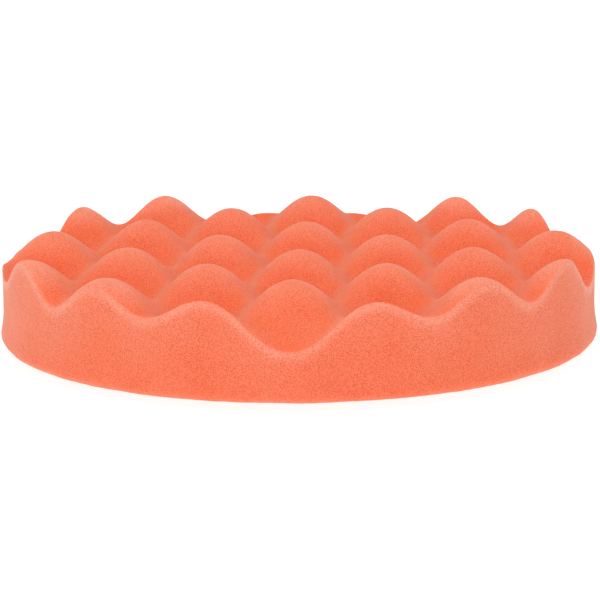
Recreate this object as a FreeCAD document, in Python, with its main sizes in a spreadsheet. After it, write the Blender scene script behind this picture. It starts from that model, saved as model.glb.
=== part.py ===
"""Round waffle-face polishing pad: foam disc, hot-melt film, loop cloth and its loop pile.

Millimetres, +Z up. The origin is the centre of the backing's free face, so the pad lies on z = 0
with its waffle face up. From the bottom the layers are loop pile, ground cloth, film and foam.
"""

import FreeCAD, Part

import math
import os

import Sketcher
from FreeCAD import Placement, Rotation, Vector

# alias, value, what it is
DIMENSIONS = [
    ("pad_radius", 75.0, "widest radius of the foam, just above its back"),
    ("edge_round", 2.5, "rounding of the foam's back edge"),
    ("waist_radius", 74.2, "radius of the cut wall above its flare"),
    ("waist_rise", 9.0, "height of the waist over the foam's back"),
    ("blank_rise", 32.0, "height of the blank that the waffle face is cut from"),
    ("valley_rise", 10.95, "foam left under the valley at the centre"),
    ("peak_rise", 24.15, "height of a bump at the centre over the foam's back"),
    ("dish_across", 1.55, "how much higher the waffle face is at the rim's left and right"),
    ("dish_along", 0.75, "how much higher the waffle face is at the rim's front and rear"),
    ("pitch_across", 21.1, "from a bump to the next valley along the lattice's X"),
    ("pitch_along", 19.85, "from a bump to the next valley along the lattice's Y"),
    ("lattice_turn", -2.45, "turn of the bump lattice about Z, in degrees"),
    ("lattice_shift_x", 1.2, "the valley nearest the centre, X"),
    ("lattice_shift_y", 3.0, "the valley nearest the centre, Y"),
    ("valley_power", 1.18, "over 1 widens the valleys"),
    ("crown_fullness", 0.19, "over 0 fills out the bumps"),
    ("backing_radius", 62.5, "bonded backing, to suit a 125 mm plate"),
    ("film_thickness", 0.2, "hot-melt film"),
    ("ground_thickness", 0.5, "knitted ground of the loop cloth"),
    ("pile_thickness", 1.0, "depth of the loops"),
    ("pile_inset", 0.4, "margin of bare cloth round the loops"),
]

# surface points from one bump to the next valley, and how far the surface runs past the blank
STEPS_PER_PITCH = 8
SURFACE_MARGIN = 4.0

CUBIC_CM = 1000.0

# Sketcher's numbers for a curve's start, end and centre, and for the axes
START, END, CENTRE = 1, 2, 3
ORIGIN_POINT = (-1, 1)
Y_AXIS = -2

DOC = FreeCAD.newDocument("polishing_pad")


def make_sheet():
    """Keep the driving dimensions in a spreadsheet, one alias to a row."""
    sheet = DOC.addObject("Spreadsheet::Sheet", "Dims")
    for row, (alias, value, note) in enumerate(DIMENSIONS, start=1):
        sheet.set(f"A{row}", note)
        sheet.set(f"B{row}", str(value))
        sheet.setAlias(f"B{row}", alias)
    DOC.recompute()
    return sheet


def new_body(name):
    """Make an empty body under the sub-part's name."""
    body = DOC.addObject("PartDesign::Body", name)
    body.Label = name
    return body


def new_sketch(body, plane):
    """Make a sketch on one of the body's own origin planes."""
    sketch = body.newObject("Sketcher::SketchObject", f"{body.Name}_sketch")
    planes = [item for item in body.Origin.OriginFeatures if item.Role == plane]
    sketch.AttachmentSupport = [(planes[0], "")]
    sketch.MapMode = "FlatFace"
    return sketch


def drive(sketch, name, expression, kind, *where):
    """Add a named dimension to a sketch and bind it to the spreadsheet."""
    index = sketch.addConstraint(Sketcher.Constraint(kind, *where))
    sketch.renameConstraint(index, name)
    sketch.setExpression(f"Constraints.{name}", expression)


# ---------------------------------------------------------------------------------------------
# Foam
# ---------------------------------------------------------------------------------------------


def flare_geometry(dims):
    """Work out the hollow arc that joins the back edge's round to the straight wall.

    It is tangent to both. Returns the round's centre, the arc's centre and radius, and the angle
    at which the round hands over to it.
    """
    round_centre = Vector(dims.pad_radius - dims.edge_round, dims.edge_round, 0)
    step_out = dims.waist_radius - round_centre.x
    step_up = dims.waist_rise - round_centre.y
    square_gap = step_out**2 + step_up**2 - dims.edge_round**2
    flare_radius = square_gap / (2 * (dims.edge_round - step_out))
    flare_centre = Vector(dims.waist_radius + flare_radius, dims.waist_rise, 0)
    hand_over = math.atan2(step_up, flare_centre.x - round_centre.x)
    return round_centre, flare_centre, flare_radius, hand_over


def make_blank(dims):
    """Turn the die-cut blank: rounded back edge, flare up to a waist, straight wall."""
    body = new_body("foam_blank")
    sketch = new_sketch(body, "XZ_Plane")
    round_centre, flare_centre, flare_radius, hand_over = flare_geometry(dims)

    corner = Vector(0, 0, 0)
    back_end = Vector(round_centre.x, 0, 0)
    wall_foot = Vector(dims.waist_radius, dims.waist_rise, 0)
    wall_top = Vector(dims.waist_radius, dims.blank_rise, 0)
    axis_top = Vector(0, dims.blank_rise, 0)
    up = Vector(0, 0, 1)
    round_circle = Part.Circle(round_centre, up, dims.edge_round)
    flare_circle = Part.Circle(flare_centre, up, flare_radius)

    back = sketch.addGeometry(Part.LineSegment(corner, back_end))
    edge = sketch.addGeometry(Part.ArcOfCircle(round_circle, -math.pi / 2, hand_over))
    flare = sketch.addGeometry(Part.ArcOfCircle(flare_circle, math.pi, math.pi + hand_over))
    wall = sketch.addGeometry(Part.LineSegment(wall_foot, wall_top))
    top = sketch.addGeometry(Part.LineSegment(wall_top, axis_top))
    axis = sketch.addGeometry(Part.LineSegment(axis_top, corner))

    rule = Sketcher.Constraint
    sketch.addConstraint([
        rule("Coincident", back, START, *ORIGIN_POINT),
        rule("Horizontal", back),
        rule("Tangent", back, END, edge, START),
        rule("Tangent", edge, END, flare, END),
        rule("Tangent", flare, START, wall, START),
        rule("Vertical", wall),
        rule("Coincident", wall, END, top, START),
        rule("Horizontal", top),
        rule("PointOnObject", top, END, Y_AXIS),
        rule("Coincident", top, END, axis, START),
        rule("Coincident", axis, END, back, START),
    ])
    drive(sketch, "edge_round", "Dims.edge_round", "Radius", edge, dims.edge_round)
    drive(sketch, "back_radius", "Dims.pad_radius - Dims.edge_round",
          "DistanceX", *ORIGIN_POINT, edge, CENTRE, round_centre.x)
    drive(sketch, "waist_radius", "Dims.waist_radius",
          "DistanceX", *ORIGIN_POINT, wall, END, dims.waist_radius)
    drive(sketch, "waist_rise", "Dims.waist_rise",
          "DistanceY", *ORIGIN_POINT, flare, CENTRE, dims.waist_rise)
    drive(sketch, "blank_rise", "Dims.blank_rise",
          "DistanceY", *ORIGIN_POINT, wall, END, dims.blank_rise)

    turned = body.newObject("PartDesign::Revolution", "foam_blank_turned")
    turned.Profile = sketch
    turned.ReferenceAxis = (sketch, ["V_Axis"])
    turned.Angle = 360.0
    return body


def waffle_height(dims, across, along):
    """Height of the egg-crate face over the foam's back, at a point of the bump lattice.

    The bumps and valleys alternate like the squares of a chessboard, with a valley at (0, 0).
    """
    turn_across = math.cos(math.pi * across / dims.pitch_across)
    turn_along = math.cos(math.pi * along / dims.pitch_along)
    level = max(0.0, (1 - turn_across * turn_along) / 2) ** dims.valley_power
    level += dims.crown_fullness * level * (1 - level)
    dish = (dims.dish_across * across**2 + dims.dish_along * along**2) / dims.pad_radius**2
    return dims.valley_rise + (dims.peak_rise - dims.valley_rise) * level + dish


def make_waffle_block(dims):
    """Make the solid under the egg-crate face, wider than the blank on every side."""
    reach = dims.pad_radius + SURFACE_MARGIN
    count_across = math.ceil(reach * STEPS_PER_PITCH / dims.pitch_across)
    count_along = math.ceil(reach * STEPS_PER_PITCH / dims.pitch_along)
    step_across = dims.pitch_across / STEPS_PER_PITCH
    step_along = dims.pitch_along / STEPS_PER_PITCH
    points = [
        [
            Vector(i * step_across, j * step_along,
                   waffle_height(dims, i * step_across, j * step_along))
            for j in range(-count_along, count_along + 1)
        ]
        for i in range(-count_across, count_across + 1)
    ]
    surface = Part.BSplineSurface()
    surface.interpolate(points)
    block = DOC.addObject("Part::Feature", "waffle_block")
    block.Shape = surface.toShape().extrude(Vector(0, 0, -dims.blank_rise))
    shift = Vector(dims.lattice_shift_x, dims.lattice_shift_y, 0)
    block.Placement = Placement(shift, Rotation(Vector(0, 0, 1), dims.lattice_turn))
    return block


def make_foam(dims):
    """Cut the waffle face into the blank and set the foam on its backing."""
    foam = DOC.addObject("Part::MultiCommon", "waffle_foam")
    foam.Label = "waffle_foam"
    foam.Shapes = [make_blank(dims), make_waffle_block(dims)]
    foam.setExpression(
        "Placement.Base.z", "Dims.pile_thickness + Dims.ground_thickness + Dims.film_thickness"
    )
    return foam


# ---------------------------------------------------------------------------------------------
# Backing
# ---------------------------------------------------------------------------------------------


def make_disc(name, radius, thickness, rise):
    """Pad one round layer of the backing. The three sizes are spreadsheet expressions."""
    body = new_body(name)
    sketch = new_sketch(body, "XY_Plane")
    circle = sketch.addGeometry(Part.Circle(Vector(0, 0, 0), Vector(0, 0, 1), 1.0))
    sketch.addConstraint(Sketcher.Constraint("Coincident", circle, CENTRE, *ORIGIN_POINT))
    drive(sketch, "layer_radius", radius, "Radius", circle, 1.0)
    layer = body.newObject("PartDesign::Pad", f"{name}_layer")
    layer.Profile = sketch
    layer.setExpression("Length", thickness)
    body.setExpression("Placement.Base.z", rise)
    return body


def make_backing():
    """Stack the loop pile, its ground cloth and the hot-melt film."""
    return [
        make_disc("loop_pile", "Dims.backing_radius - Dims.pile_inset",
                  "Dims.pile_thickness", "0"),
        make_disc("loop_ground_cloth", "Dims.backing_radius",
                  "Dims.ground_thickness", "Dims.pile_thickness"),
        make_disc("hot_melt_film", "Dims.backing_radius",
                  "Dims.film_thickness", "Dims.pile_thickness + Dims.ground_thickness"),
    ]


# ---------------------------------------------------------------------------------------------
# Checks and export
# ---------------------------------------------------------------------------------------------


def check_document(parts):
    """Stop on a failed feature, or on a sub-part whose shape isn't one valid solid."""
    for item in DOC.Objects:
        if "Invalid" in item.State or "Error" in item.State:
            raise RuntimeError(f"{item.Name}: {item.State}")
    for part in parts:
        shape = part.Shape
        if shape.isNull() or not shape.isValid() or len(shape.Solids) != 1:
            raise RuntimeError(f"{part.Label}: not one valid solid")


def export(parts):
    """Write each sub-part to its own STEP file."""
    os.makedirs("parts", exist_ok=True)
    for part in parts:
        part.Shape.exportStep(f"parts/{part.Label}.step")
        print(f"{part.Label}: volume {part.Shape.Volume / CUBIC_CM:.1f} cm3")


SHEET = make_sheet()
PARTS = [make_foam(SHEET)] + make_backing()
DOC.recompute()
check_document(PARTS)
export(PARTS)
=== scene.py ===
"""Looks of the waffle-face polishing pad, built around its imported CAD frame. Metres, +Z up."""

import math

import bpy
import numpy as np
from mathutils import Matrix, Vector, noise


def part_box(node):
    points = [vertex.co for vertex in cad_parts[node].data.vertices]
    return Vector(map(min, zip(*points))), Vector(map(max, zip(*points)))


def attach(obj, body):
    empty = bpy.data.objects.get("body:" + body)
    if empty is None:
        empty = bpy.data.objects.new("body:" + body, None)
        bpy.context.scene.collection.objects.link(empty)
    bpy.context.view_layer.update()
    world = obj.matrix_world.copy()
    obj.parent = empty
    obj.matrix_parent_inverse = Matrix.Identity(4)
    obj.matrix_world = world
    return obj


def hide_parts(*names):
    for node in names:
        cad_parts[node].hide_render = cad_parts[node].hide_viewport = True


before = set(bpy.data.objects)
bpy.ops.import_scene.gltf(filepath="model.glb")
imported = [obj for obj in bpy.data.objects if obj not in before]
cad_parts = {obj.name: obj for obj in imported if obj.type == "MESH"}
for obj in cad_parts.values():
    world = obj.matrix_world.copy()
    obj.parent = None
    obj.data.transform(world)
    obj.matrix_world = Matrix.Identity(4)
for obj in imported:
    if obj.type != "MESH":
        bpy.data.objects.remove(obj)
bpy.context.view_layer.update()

MM = 0.001
BODY = "root"

# ---------------------------------------------------------------------------------------------
# Sizes from the frame
# ---------------------------------------------------------------------------------------------

FOAM_LOW, FOAM_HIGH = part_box("waffle_foam")
CLOTH_LOW, CLOTH_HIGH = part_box("loop_ground_cloth")
PILE_LOW, PILE_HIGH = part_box("loop_pile")
PAD_RADIUS = (FOAM_HIGH.y - FOAM_LOW.y) / 2
CLOTH_RADIUS = (CLOTH_HIGH.y - CLOTH_LOW.y) / 2
PILE_RADIUS = (PILE_HIGH.y - PILE_LOW.y) / 2
BACK_Z = FOAM_LOW.z

# ---------------------------------------------------------------------------------------------
# The waffle face and the cut wall, as the design has them
# ---------------------------------------------------------------------------------------------

EDGE_ROUND = 2.5 * MM
WAIST_RADIUS = PAD_RADIUS - 0.8 * MM
WAIST_RISE = 9.0 * MM
VALLEY_RISE = 10.95 * MM
PEAK_RISE = 24.15 * MM
DISH_ACROSS = 1.55 * MM
DISH_ALONG = 0.75 * MM
PITCH_ACROSS = 21.1 * MM
PITCH_ALONG = 19.85 * MM
LATTICE_TURN = math.radians(-2.45)
LATTICE_SHIFT_X = 1.2 * MM
LATTICE_SHIFT_Y = 3.0 * MM
VALLEY_POWER = 1.18
CROWN_FULLNESS = 0.19
# points along the flare and round the back edge
FLARE_POINTS, EDGE_POINTS = 30, 40


def waffle_level(x, y):
    """How far up the egg-crate face is, from 0 in a valley to 1 on a bump, and its dish."""
    turn, lean = math.cos(LATTICE_TURN), math.sin(LATTICE_TURN)
    from_x, from_y = x - LATTICE_SHIFT_X, y - LATTICE_SHIFT_Y
    across = from_x * turn + from_y * lean
    along = from_y * turn - from_x * lean
    wave = np.cos(np.pi * across / PITCH_ACROSS) * np.cos(np.pi * along / PITCH_ALONG)
    level = np.clip((1 - wave) / 2, 0, 1) ** VALLEY_POWER
    level = level + CROWN_FULLNESS * level * (1 - level)
    dish = (DISH_ACROSS * across**2 + DISH_ALONG * along**2) / PAD_RADIUS**2
    return level, dish


def waffle_rise(x, y):
    """Height of the egg-crate face over the foam's back."""
    level, dish = waffle_level(x, y)
    return VALLEY_RISE + (PEAK_RISE - VALLEY_RISE) * level + dish


def lower_wall():
    """Radius and height of the wall from its waist down the flare and round the back edge."""
    centre = PAD_RADIUS - EDGE_ROUND
    step_out = WAIST_RADIUS - centre
    step_up = WAIST_RISE - EDGE_ROUND
    gap = step_out**2 + step_up**2 - EDGE_ROUND**2
    flare = gap / (2 * (EDGE_ROUND - step_out))
    flare_centre = WAIST_RADIUS + flare
    hand_over = math.atan2(step_up, flare_centre - centre)
    turn = np.linspace(0, hand_over, FLARE_POINTS)
    flare_r = flare_centre - flare * np.cos(turn)
    flare_z = WAIST_RISE - flare * np.sin(turn)
    turn = np.linspace(hand_over, -math.pi / 2, EDGE_POINTS)[1:]
    edge_r = centre + EDGE_ROUND * np.cos(turn)
    edge_z = EDGE_ROUND + EDGE_ROUND * np.sin(turn)
    return np.concatenate([flare_r, edge_r]), np.concatenate([flare_z, edge_z])


# ---------------------------------------------------------------------------------------------
# Mesh helpers
# ---------------------------------------------------------------------------------------------

# moves each seed's noise to a place of its own
SEED_STEP = Vector((17.3, 5.1, 9.7))


def new_piece(name, points, faces, material):
    """Make a smooth-shaded mesh object in the scene."""
    mesh = bpy.data.meshes.new(name)
    mesh.from_pydata([tuple(p) for p in points], [], faces)
    mesh.validate()
    mesh.polygons.foreach_set("use_smooth", [True] * len(mesh.polygons))
    mesh.materials.append(material)
    piece = bpy.data.objects.new(name, mesh)
    bpy.context.scene.collection.objects.link(piece)
    return piece


def disc_grid(rings):
    """Square grid wrapped onto the unit disc: points, faces, and its outer ring in angle order."""
    side = np.arange(-rings, rings + 1)
    i, j = (a.ravel() for a in np.meshgrid(side, side, indexing="ij"))
    ring = np.maximum(abs(i), abs(j))
    eighth_turn = math.pi / 4
    wide = abs(i) >= abs(j)
    by_i = eighth_turn * j / np.where(i == 0, 1, i) + np.where(i < 0, math.pi, 0)
    by_j = eighth_turn * (2 - i / np.where(j == 0, 1, j)) + np.where(j < 0, math.pi, 0)
    angle = np.where(wide, by_i, by_j) % (2 * math.pi)
    points = np.stack([np.cos(angle), np.sin(angle)], axis=1) * (ring / rings)[:, None]
    width = 2 * rings + 1
    corner = np.add.outer(np.arange(width - 1) * width, np.arange(width - 1)).ravel()
    faces = np.stack([corner, corner + width, corner + width + 1, corner + 1], axis=1)
    outer = np.flatnonzero(ring == rings)
    outer = outer[np.argsort(np.round(angle[outer], 9))]
    return points, faces, outer


def noise_at(points, wavelength, seed):
    """Gentle noise from -1 to 1 at each point."""
    shift = SEED_STEP * seed
    return np.array([noise.noise(Vector(p) / wavelength + shift) for p in points])


# ---------------------------------------------------------------------------------------------
# Foam
# ---------------------------------------------------------------------------------------------

FOAM_RINGS = 112
# the rim's cut section: how far in from the wall it starts, its steps and its roundness
STRIP_WIDTH = 3.0 * MM
PROFILE_STEP = 0.1 * MM
RIM_SOFTNESS = 0.5 * MM
UNDERSIDE_RADIUS = 60.0 * MM
# the section's fine zone at the rim, and from its inner end to the flat back and to the edge
RIM_ZONE = 2.0 * MM
BACK_RUN, EDGE_RUN = 12.0 * MM, 18.0 * MM
# points along the face, over the rim, down the wall, round the edge and along the back
STRIP_ROWS = (4, 16, 20, 9, 7)
# wavelength and depth of the foam's unevenness
UNEVENNESS = [(9.0 * MM, 0.12 * MM), (2.4 * MM, 0.05 * MM), (1.1 * MM, 0.035 * MM)]
# the back stays even where the cloth is glued on: how deep, and how far past the cloth
GLUED_DEPTH, GLUED_MARGIN = 0.2 * MM, 3.0 * MM
# painted light and shade as paleness, from 0 for the painted shade in the hollows to 1 for the
# painted highlight on the cut rim, and its attribute
TONE = "tone"
HOLLOW_TONE, FLANK_TONE, CROWN_TONE = 0.0, 0.1, 0.29
LOW_WALL_TONE, HIGH_WALL_TONE, RIM_TONE = 0.15, 0.36, 0.68
RIM_CROWN_TONE = 0.5
# where the face turns from its painted shade in the hollows to flank and from flank to the painted
# sheen of the crowns, by level and by slope
HOLLOW_LEVELS, HOLLOW_SLOPES, CROWN_LEVELS = (0.4, 0.7), (0.35, 0.85), (0.5, 0.95)
# reach of the rim's painted highlight over the crowns and down the wall, and its palest band
RIM_REACH = 8.0 * MM
WALL_FADE = 8.0 * MM
BAND_DROP, BAND_ABOVE, BAND_BELOW = 0.9 * MM, 0.65 * MM, 0.95 * MM
SLOPE_STEP = 0.2 * MM


def cut_profile(angle, low_r, low_z):
    """Softened section at one angle, from the waffle face over the rim and down to the back."""
    top_r = np.arange(WAIST_RADIUS - STRIP_WIDTH, WAIST_RADIUS, PROFILE_STEP)
    top_z = waffle_rise(top_r * math.cos(angle), top_r * math.sin(angle))
    rim_z = waffle_rise(WAIST_RADIUS * math.cos(angle), WAIST_RADIUS * math.sin(angle))
    r = np.concatenate([top_r, [WAIST_RADIUS], low_r, [UNDERSIDE_RADIUS]])
    z = np.concatenate([top_z, [rim_z], low_z, [0]])
    along = np.concatenate([[0], np.cumsum(np.hypot(np.diff(r), np.diff(z)))])
    even = np.linspace(0, along[-1], round(along[-1] / PROFILE_STEP))
    r, z = np.interp(even, along, r), np.interp(even, along, z)
    reach = round(3 * RIM_SOFTNESS / PROFILE_STEP)
    weights = np.exp(-0.5 * (np.arange(-reach, reach + 1) * PROFILE_STEP / RIM_SOFTNESS) ** 2)
    weights /= weights.sum()
    soft_r, soft_z = r.copy(), z.copy()
    soft_r[reach:-reach] = np.convolve(r, weights, "valid")
    soft_z[reach:-reach] = np.convolve(z, weights, "valid")
    rim_at = along[len(top_r)]
    return even, soft_r, soft_z, rim_at


def strip_stations(rim_at, length):
    """Distances along a section where it gets a row of points: closest together over the rim."""
    stops = [0, rim_at - RIM_ZONE, rim_at + 2 * RIM_ZONE, length - EDGE_RUN,
             length - BACK_RUN, length]
    spans = zip(stops, stops[1:], STRIP_ROWS)
    return np.concatenate([np.linspace(low, high, count)[1:] for low, high, count in spans])


def rim_strip(count):
    """Rows of points from the face over the rim to the back, and how far each is past the rim."""
    low_r, low_z = lower_wall()
    columns, past_rim = [], []
    for number in range(count):
        angle = 2 * math.pi * number / count
        even, r, z, rim_at = cut_profile(angle, low_r, low_z)
        stations = strip_stations(rim_at, even[-1])
        r, z = np.interp(stations, even, r), np.interp(stations, even, z)
        columns.append(np.column_stack([r * math.cos(angle), r * math.sin(angle), z]))
        past_rim.append(stations - rim_at)
    return np.array(columns).transpose(1, 0, 2), np.array(past_rim).T


def foam_mesh():
    """Points and faces of the foam, and how far each point is down the wall from the rim."""
    grid, faces, outer = disc_grid(FOAM_RINGS)
    grid = grid * (WAIST_RADIUS - STRIP_WIDTH)
    face = np.column_stack([grid, waffle_rise(grid[:, 0], grid[:, 1])])
    inside = np.hypot(grid[:, 0], grid[:, 1]) - WAIST_RADIUS
    strip, past_rim = rim_strip(len(outer))
    around = np.arange(len(outer))
    faces = faces.tolist()
    above = outer
    for row in range(len(strip)):
        below = len(grid) + row * len(outer) + around
        quads = [above, below, np.roll(below, -1), np.roll(above, -1)]
        faces += np.stack(quads, axis=1).tolist()
        above = below
    faces.append(above[::-1].tolist())
    points = np.concatenate([face, strip.reshape(-1, 3)])
    return points, faces, np.concatenate([inside, past_rim.ravel()])


def ease(value, low, high):
    """Ramp smoothly from 0 at low to 1 at high."""
    part = np.clip((value - low) / (high - low), 0, 1)
    return part**2 * (3 - 2 * part)


def foam_tone(points, rim_distance):
    """Painted light and shade of each point as paleness: painted shade deep in the hollows,
    painted sheen on the crowns, a painted highlight on the rim, and the wall painted paler towards
    its top.
    """
    x, y = points[:, 0], points[:, 1]
    level, _ = waffle_level(x, y)
    rise = waffle_rise(x, y)
    slope_x = (waffle_rise(x + SLOPE_STEP, y) - rise) / SLOPE_STEP
    slope_y = (waffle_rise(x, y + SLOPE_STEP) - rise) / SLOPE_STEP
    slope = np.hypot(slope_x, slope_y)
    # painted shade: darkest where the face is low and shallow, in the hollows and saddles
    hollow = (1 - ease(level, *HOLLOW_LEVELS)) * (1 - ease(slope, *HOLLOW_SLOPES))
    # painted sheen: paler crowns, palest near the rim
    crown = ease(level, *CROWN_LEVELS)
    by_rim = ease(rim_distance, -RIM_REACH, -STRIP_WIDTH)
    crown_tone = CROWN_TONE + (RIM_CROWN_TONE - CROWN_TONE) * by_rim
    face = FLANK_TONE + (crown_tone - FLANK_TONE) * crown
    face = face + (HOLLOW_TONE - face) * hollow
    # the wall painted paler near its top, fading down from the rim's painted highlight
    down = np.maximum(rim_distance, 0)
    wall = LOW_WALL_TONE + (HIGH_WALL_TONE - LOW_WALL_TONE) * np.exp(-down / WALL_FADE)
    tone = np.where(rim_distance < 0, face, wall)
    # painted highlight: the palest band along the cut rim
    off = rim_distance - BAND_DROP
    band = np.exp(-0.5 * (off / np.where(off < 0, BAND_ABOVE, BAND_BELOW)) ** 2)
    return tone + (RIM_TONE - tone) * band


def make_foam(material):
    """Build the foam disc, with its uneven cut surface and its painted light and shade as
    paleness.
    """
    points, faces, rim_distance = foam_mesh()
    tone = foam_tone(points, rim_distance)
    points[:, 2] += BACK_Z
    foam = new_piece("foam_disc", points, faces, material)
    mesh = foam.data
    normals = np.zeros(len(points) * 3)
    mesh.vertex_normals.foreach_get("vector", normals)
    normals = normals.reshape(-1, 3)
    depth = sum(
        size * noise_at(points, wavelength, seed)
        for seed, (wavelength, size) in enumerate(UNEVENNESS, start=1)
    )
    radius = np.hypot(points[:, 0], points[:, 1])
    glued = (points[:, 2] < BACK_Z + GLUED_DEPTH) & (radius < CLOTH_RADIUS + GLUED_MARGIN)
    depth = np.where(glued, 0, depth)
    mesh.vertices.foreach_set("co", (points + normals * depth[:, None]).ravel())
    # the painted light and shade go onto the mesh as its tone attribute
    mark = mesh.attributes.new(TONE, "FLOAT", "POINT")
    mark.data.foreach_set("value", tone)
    mesh.update()
    return foam


# ---------------------------------------------------------------------------------------------
# Hook-and-loop backing
# ---------------------------------------------------------------------------------------------

CLOTH_RINGS = 48
# the cloth's sag between its stitches and the waver of its cut edge, each with its wavelength
CLOTH_SAG, SAG_WAVE, SAG_SEED = 0.03 * MM, 5.0 * MM, 6
CUT_WAVER, WAVER_WAVE, WAVER_SEED = 0.15 * MM, 3.0 * MM, 5
# how closely both keep to the edge
EDGE_POWER = 8

LOOP_SPACING = 1.75 * MM
LOOP_WIDTH = 1.3 * MM
LOOP_YARN = 0.11 * MM
LOOP_STATIONS = 7
YARN_SIDES = 3
LOOP_SEED = 7
# chance in a loop's place, width, height and lean, as shares of the even loop
LOOP_JITTER, LOOP_WIDTHS, LOOP_HEIGHTS, LOOP_LEAN = 0.25, (0.75, 1.1), (0.8, 1.0), 0.35
# how far a loop's sides bulge past its roots, and how square its top is
LOOP_BULGE, LOOP_SQUARENESS = 0.25, 0.8


def make_cloth(material):
    """Build the knitted ground cloth: flat where it is glued, faintly quilted below."""
    grid, faces, outer = disc_grid(CLOTH_RINGS)
    reach = np.hypot(grid[:, 0], grid[:, 1])
    by_edge = reach**EDGE_POWER
    level = np.zeros(len(grid))
    around = np.column_stack([grid, level]) * CLOTH_RADIUS
    waver = CUT_WAVER * noise_at(around, WAVER_WAVE, WAVER_SEED)
    flat = grid * (CLOTH_RADIUS - CUT_WAVER + waver * by_edge)[:, None]
    quilt = CLOTH_SAG * noise_at(np.column_stack([flat, level]), SAG_WAVE, SAG_SEED)
    above = np.column_stack([flat, np.full(len(flat), CLOTH_HIGH.z)])
    below = np.column_stack([flat, CLOTH_LOW.z + CLOTH_SAG + quilt * (1 - by_edge)])
    under = faces[:, ::-1] + len(flat)
    after = np.roll(outer, -1)
    edge = np.stack([outer, outer + len(flat), after + len(flat), after], axis=1)
    faces = np.concatenate([faces, under, edge]).tolist()
    return new_piece("loop_cloth_disc", np.concatenate([above, below]), faces, material)


def loop_places(chance):
    """Middle of every loop: a jittered triangular lattice, cut round."""
    row_step = LOOP_SPACING * math.sqrt(3) / 2
    reach = math.ceil(PILE_RADIUS / row_step) + 1
    steps = np.arange(-reach, reach + 1)
    i, j = (grid.ravel() for grid in np.meshgrid(steps, steps))
    places = np.stack([(i + 0.5 * (j % 2)) * LOOP_SPACING, j * row_step], axis=1)
    places = places + chance.uniform(-LOOP_JITTER, LOOP_JITTER, places.shape) * LOOP_SPACING
    return places[np.hypot(places[:, 0], places[:, 1]) < PILE_RADIUS - LOOP_WIDTH]


def loop_lines():
    """Middle line of every loop, each turned, leaned and sized a little differently.

    Returns the lines' points and the level direction square to each loop.
    """
    chance = np.random.default_rng(LOOP_SEED)
    places = loop_places(chance)
    count = len(places)
    turn = chance.uniform(0, math.pi, (count, 1))
    width = LOOP_WIDTH * chance.uniform(*LOOP_WIDTHS, (count, 1))
    root_z = CLOTH_LOW.z + 2 * CLOTH_SAG
    drop = (root_z - PILE_LOW.z - LOOP_YARN) * chance.uniform(*LOOP_HEIGHTS, (count, 1))
    lean = chance.uniform(-LOOP_LEAN, LOOP_LEAN, (2, count, 1)) * LOOP_WIDTH
    swing = np.linspace(0, math.pi, LOOP_STATIONS)[None, :]
    bulge = 1 + LOOP_BULGE * np.sin(swing)
    along = -0.5 * width * np.cos(swing) * bulge + lean[0] * np.sin(swing)
    side = lean[1] * np.sin(swing)
    z = root_z - drop * np.sin(swing) ** LOOP_SQUARENESS
    x = places[:, :1] + along * np.cos(turn) - side * np.sin(turn)
    y = places[:, 1:] + along * np.sin(turn) + side * np.cos(turn)
    square = np.stack([-np.sin(turn), np.cos(turn), np.zeros((count, 1))], axis=2)
    return np.stack([x, y, z], axis=2), square


def make_pile(material):
    """Sweep the yarn along every loop's line."""
    line, square = loop_lines()
    ahead = np.gradient(line, axis=1)
    ahead /= np.linalg.norm(ahead, axis=2, keepdims=True)
    across = square - ahead * np.sum(square * ahead, axis=2, keepdims=True)
    across /= np.linalg.norm(across, axis=2, keepdims=True)
    outward = np.cross(ahead, across)
    rings = []
    for corner in np.arange(YARN_SIDES) * 2 * math.pi / YARN_SIDES:
        rings.append(line + LOOP_YARN * (math.cos(corner) * across + math.sin(corner) * outward))
    points = np.stack(rings, axis=2).reshape(-1, 3)
    corner = np.arange(YARN_SIDES)
    station = np.arange(LOOP_STATIONS - 1)[:, None] * YARN_SIDES
    after = (corner + 1) % YARN_SIDES
    quads = np.stack([station + corner, station + after, station + after + YARN_SIDES,
                      station + corner + YARN_SIDES], axis=2).reshape(-1, 4)
    start = np.arange(len(line))[:, None, None] * LOOP_STATIONS * YARN_SIDES
    faces = (start + quads[None]).reshape(-1, 4).tolist()
    return new_piece("loop_pile_field", points, faces, material)


# ---------------------------------------------------------------------------------------------
# Materials
# ---------------------------------------------------------------------------------------------

# the wave node's stripes turn this many radians for each unit at a scale of 1
WAVE_RADIANS = 20


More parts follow.
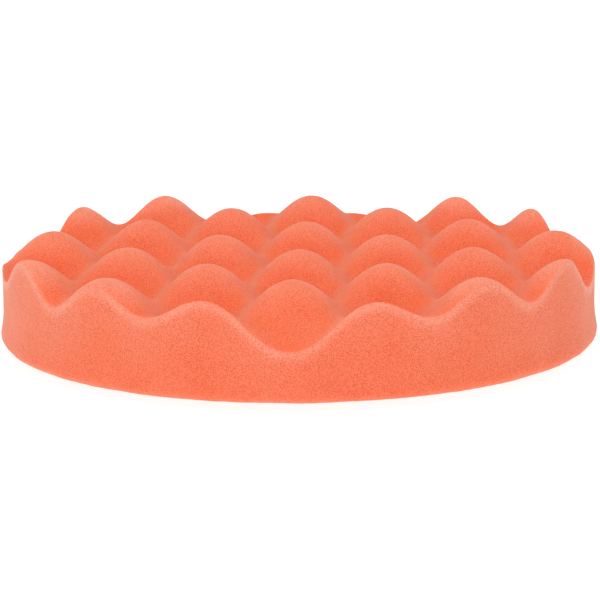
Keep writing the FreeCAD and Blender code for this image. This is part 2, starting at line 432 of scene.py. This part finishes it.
class Nodes:
    """A material's node tree, with short calls for what the materials below need."""

    def __init__(self, name):
        self.material = bpy.data.materials.new(name)
        self.material.use_nodes = True
        self.tree = self.material.node_tree
        self.place = self.add("ShaderNodeTexCoord").outputs["Object"]

    def put(self, socket, value):
        """Link a socket, or set its value."""
        if isinstance(value, bpy.types.NodeSocket):
            self.tree.links.new(value, socket)
        else:
            socket.default_value = value

    def fill(self, node, inputs):
        """Put a value or a link on each named input of a node."""
        for name, value in inputs.items():
            self.put(node.inputs[name.replace("_", " ")], value)
        return node

    def add(self, kind, **inputs):
        """Add a node and fill its inputs."""
        return self.fill(self.tree.nodes.new(kind), inputs)

    def finish(self, **inputs):
        """Fill the shader's inputs and hand the material over."""
        self.fill(self.tree.nodes["Principled BSDF"], inputs)
        return self.material

    def noise(self, wavelength, detail=2.0):
        """Noise from 0 to 1 at a wavelength in metres."""
        node = self.add("ShaderNodeTexNoise", Vector=self.place, Scale=1 / wavelength,
                        Detail=detail)
        return node.outputs["Fac"]

    def cells(self, size):
        """Distance from the middle of the nearest cell, about 0 to 1."""
        node = self.add("ShaderNodeTexVoronoi", Vector=self.place, Scale=1 / size)
        return node.outputs["Distance"]

    def stripes(self, width, direction, distortion):
        """Wavering sine stripes from 0 to 1, one every width metres."""
        node = self.add("ShaderNodeTexWave", Vector=self.place, Distortion=distortion,
                        Scale=2 * math.pi / (WAVE_RADIANS * width), Detail_Scale=0.4)
        node.bands_direction = direction
        return node.outputs["Fac"]

    def band(self, value, low, high):
        """Spread a value's stretch from low to high over 0 to 1."""
        node = self.add("ShaderNodeMapRange", Value=value, From_Min=low, From_Max=high)
        return node.outputs["Result"]

    def maths(self, operation, first, second):
        """Combine two numbers."""
        node = self.tree.nodes.new("ShaderNodeMath")
        node.operation = operation
        self.put(node.inputs[0], first)
        self.put(node.inputs[1], second)
        return node.outputs["Value"]

    def share(self, amount, value):
        """Take a share of a number."""
        return self.maths("MULTIPLY", value, amount)

    def mix(self, amount, first, second):
        """Mix two colours."""
        node = self.tree.nodes.new("ShaderNodeMix")
        node.data_type = "RGBA"
        shown = [socket for socket in node.inputs if socket.enabled]
        for socket, value in zip(shown, (amount, first, second)):
            self.put(socket, value)
        return next(socket for socket in node.outputs if socket.enabled)

    def tint(self, colour, tint):
        """Multiply a colour by another."""
        result = self.mix(1.0, colour, tint)
        result.node.blend_type = "MULTIPLY"
        return result

    def bump(self, height, depth, strength=1.0):
        """Turn a height into a normal, with its depth in metres."""
        node = self.add("ShaderNodeBump", Height=height, Distance=depth, Strength=strength)
        return node.outputs["Normal"]


def foam_material():
    """Open-cell coral foam: fine pores, soft light inside it, and painted light and shade from its
    tone attribute: painted sheen on the crowns, a painted highlight along the cut rim, painted
    shade in the hollows.
    """
    n = Nodes("coral_foam")
    coral = (0.94, 0.165, 0.06, 1)
    sheen_pale = (0.97, 0.405, 0.29, 1)
    pore_tint = (0.76, 0.45, 0.36, 1)
    tone = n.add("ShaderNodeAttribute")
    tone.attribute_name = TONE
    patches = n.band(n.noise(9 * MM, detail=0.0), 0.3, 0.7)
    tone = n.maths("ADD", tone.outputs["Fac"], n.share(0.08, patches))
    # painted light and shade: the tone attribute mixes the coral towards a pale sheen colour on
    # crowns, rim and upper wall, and leaves it deepest in the shaded hollows
    colour = n.mix(tone, coral, sheen_pale)
    relief = n.maths("ADD", n.cells(0.36 * MM), n.noise(0.2 * MM, detail=1.0))
    closed_cells = n.band(n.noise(4 * MM, detail=1.0), 0.62, 0.38)
    skin = n.maths("MAXIMUM", n.band(relief, 0.6, 1.05), n.share(0.5, closed_cells))
    return n.finish(
        Base_Color=n.mix(skin, n.tint(colour, pore_tint), colour),
        Normal=n.bump(relief, 0.1 * MM, 0.8),
        Roughness=0.95,
        Specular_IOR_Level=0.15,
        Subsurface_Weight=0.6,
        Subsurface_Radius=(1.0, 0.35, 0.22),
        Subsurface_Scale=1.6 * MM,
        Sheen_Weight=0.28,
        Sheen_Roughness=0.45,
        Sheen_Tint=(0.8, 0.66, 0.66, 1),
    )


def cloth_material():
    """Off-white warp-knit nylon: rows of tiny stitches with a little fuzz."""
    n = Nodes("knit_nylon")
    gap, stitch, soil = (0.5, 0.5, 0.48, 1), (0.78, 0.78, 0.75, 1), (0.72, 0.68, 0.6, 1)
    wales = n.stripes(1.1 * MM, "X", 1.5)
    courses = n.stripes(0.8 * MM, "Y", 1.5)
    fuzz = n.noise(0.35 * MM, detail=2.0)
    relief = n.maths("ADD", n.maths("MULTIPLY", wales, courses), n.share(0.4, fuzz))
    colour = n.mix(n.band(relief, 0.0, 0.9), gap, stitch)
    soiling = n.band(n.noise(14 * MM, detail=2.0), 0.4, 0.8)
    return n.finish(
        Base_Color=n.mix(n.share(0.15, soiling), colour, soil),
        Normal=n.bump(relief, 0.12 * MM, 0.9),
        Roughness=0.8,
        Specular_IOR_Level=0.3,
        Sheen_Weight=0.3,
        Sheen_Roughness=0.5,
    )


def pile_material():
    """White napped nylon yarn: fine filaments, slightly glossy."""
    n = Nodes("nylon_loops")
    hollow, filament, worn = (0.84, 0.84, 0.81, 1), (0.95, 0.95, 0.93, 1), (0.7, 0.69, 0.65, 1)
    filaments = n.noise(0.06 * MM, detail=2.0)
    colour = n.mix(n.band(filaments, 0.3, 0.7), hollow, filament)
    clumps = n.band(n.noise(4 * MM, detail=2.0), 0.45, 0.75)
    return n.finish(
        Base_Color=n.mix(n.share(0.2, clumps), colour, worn),
        Normal=n.bump(filaments, 0.02 * MM, 0.7),
        Roughness=0.55,
        Specular_IOR_Level=0.4,
        Subsurface_Weight=0.3,
        Subsurface_Radius=(1.0, 1.0, 0.9),
        Subsurface_Scale=0.3 * MM,
        Sheen_Weight=0.2,
    )


def film_material():
    """Milky amber hot-melt film, wrinkled and slightly glossy, with darker wetted spots."""
    n = Nodes("hot_melt")
    milky, amber = (0.82, 0.78, 0.68, 1), (0.66, 0.55, 0.38, 1)
    ripple = n.noise(1.5 * MM, detail=3.0)
    wetted = n.band(n.noise(0.7 * MM, detail=1.0), 0.45, 0.65)
    return n.finish(
        Base_Color=n.mix(wetted, milky, amber),
        Normal=n.bump(ripple, 0.05 * MM, 0.6),
        Roughness=n.maths("ADD", n.share(0.3, ripple), 0.25),
        Subsurface_Weight=0.3,
        Subsurface_Radius=(1.0, 0.8, 0.5),
        Subsurface_Scale=0.4 * MM,
    )


def stage_material():
    """Plain pale grey, lit a little from within so that it stays even and white."""
    return Nodes("pale_floor").finish(
        Base_Color=(0.3, 0.3, 0.3, 1),
        Roughness=0.8,
        Specular_IOR_Level=0.2,
        Emission_Color=(1, 1, 1, 1),
        Emission_Strength=0.88,
    )


# ---------------------------------------------------------------------------------------------
# Stage, light and camera
# ---------------------------------------------------------------------------------------------

STAGE_RADIUS, STAGE_HEIGHT, COVE = 8.0, 1.7, 0.6
STAGE_SIDES = 96
FLOOR_RINGS = (0.5, 3.0)
COVE_STEPS = 9

WORLD_STRENGTH = 0.42
# name, place, aim, width and power
SOFTBOXES = [
    ("softbox_top", (-0.05, -0.15, 0.9), (0, 0, 0), 0.5, 4.5),
    ("softbox_front", (-0.2, -1.3, 0.45), (0, 0, 0.01), 0.9, 2.9),
]


def make_stage():
    """Lay a wide pale floor under the pad, curving up into a low wall far all round it."""
    turn = np.linspace(0, math.pi / 2, COVE_STEPS)
    cove_radius = STAGE_RADIUS - COVE + COVE * np.sin(turn)
    radius = np.concatenate([FLOOR_RINGS, cove_radius, [STAGE_RADIUS]])
    height = np.concatenate([[0] * len(FLOOR_RINGS), COVE - COVE * np.cos(turn), [STAGE_HEIGHT]])
    around = np.arange(STAGE_SIDES)
    angle = around * 2 * math.pi / STAGE_SIDES
    level = np.ones(STAGE_SIDES)
    points = np.stack([np.outer(radius, np.cos(angle)), np.outer(radius, np.sin(angle)),
                       np.outer(height, level)], axis=2).reshape(-1, 3)
    faces = [around.tolist()]
    for ring in range(len(radius) - 1):
        inner = ring * STAGE_SIDES + around
        outer = inner + STAGE_SIDES
        faces += np.stack([inner, outer, np.roll(outer, -1), np.roll(inner, -1)], axis=1).tolist()
    new_piece("stage", points, faces, stage_material())


def make_light(name, place, aim, size, power):
    """Hang a square softbox."""
    data = bpy.data.lights.new(name, "AREA")
    data.size = size
    data.energy = power
    lamp = bpy.data.objects.new(name, data)
    lamp.location = place
    lamp.rotation_euler = (Vector(aim) - Vector(place)).to_track_quat("-Z", "Y").to_euler()
    bpy.context.scene.collection.objects.link(lamp)


def make_lights():
    """White tent: an even white surround, with softboxes above and in front."""
    world = bpy.data.worlds.new("white_surround")
    world.use_nodes = True
    background = world.node_tree.nodes["Background"]
    background.inputs["Color"].default_value = (1, 1, 1, 1)
    background.inputs["Strength"].default_value = WORLD_STRENGTH
    bpy.context.scene.world = world
    for softbox in SOFTBOXES:
        make_light(*softbox)


# sensor and lens in millimetres
SENSOR_WIDTH = 36.0
LENS = 129.3
CAMERA_DISTANCE = 546.3 * MM
CAMERA_ELEVATION = math.radians(11.93)
CAMERA_ROLL = math.radians(-0.53)
CAMERA_AIM = Vector((0.28 * MM, 0, BACK_Z + 8.05 * MM))


def make_camera():
    """Look at the pad from the front, a little above it."""
    rise = CAMERA_ELEVATION
    back = Vector((0, -math.cos(rise), math.sin(rise)))
    upright = Vector((0, math.sin(rise), math.cos(rise)))
    right = math.cos(CAMERA_ROLL) * Vector((1, 0, 0)) + math.sin(CAMERA_ROLL) * upright
    up = back.cross(right)
    data = bpy.data.cameras.new("camera")
    data.sensor_width = SENSOR_WIDTH
    data.lens = LENS
    camera = bpy.data.objects.new("camera", data)
    axes = Matrix((right, up, back)).transposed().to_4x4()
    camera.matrix_world = Matrix.Translation(CAMERA_AIM + CAMERA_DISTANCE * back) @ axes
    bpy.context.scene.collection.objects.link(camera)
    bpy.context.scene.camera = camera


# ---------------------------------------------------------------------------------------------
# Assembly
# ---------------------------------------------------------------------------------------------

foam = make_foam(foam_material())
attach(foam, BODY)
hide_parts("waffle_foam")

pile = make_pile(pile_material())
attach(pile, BODY)
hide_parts("loop_pile")

cloth = make_cloth(cloth_material())
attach(cloth, BODY)
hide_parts("loop_ground_cloth")

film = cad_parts["hot_melt_film"]
film.data.materials.clear()
film.data.materials.append(film_material())

make_stage()
make_lights()
make_camera()
bpy.context.scene.view_settings.view_transform = "Standard"
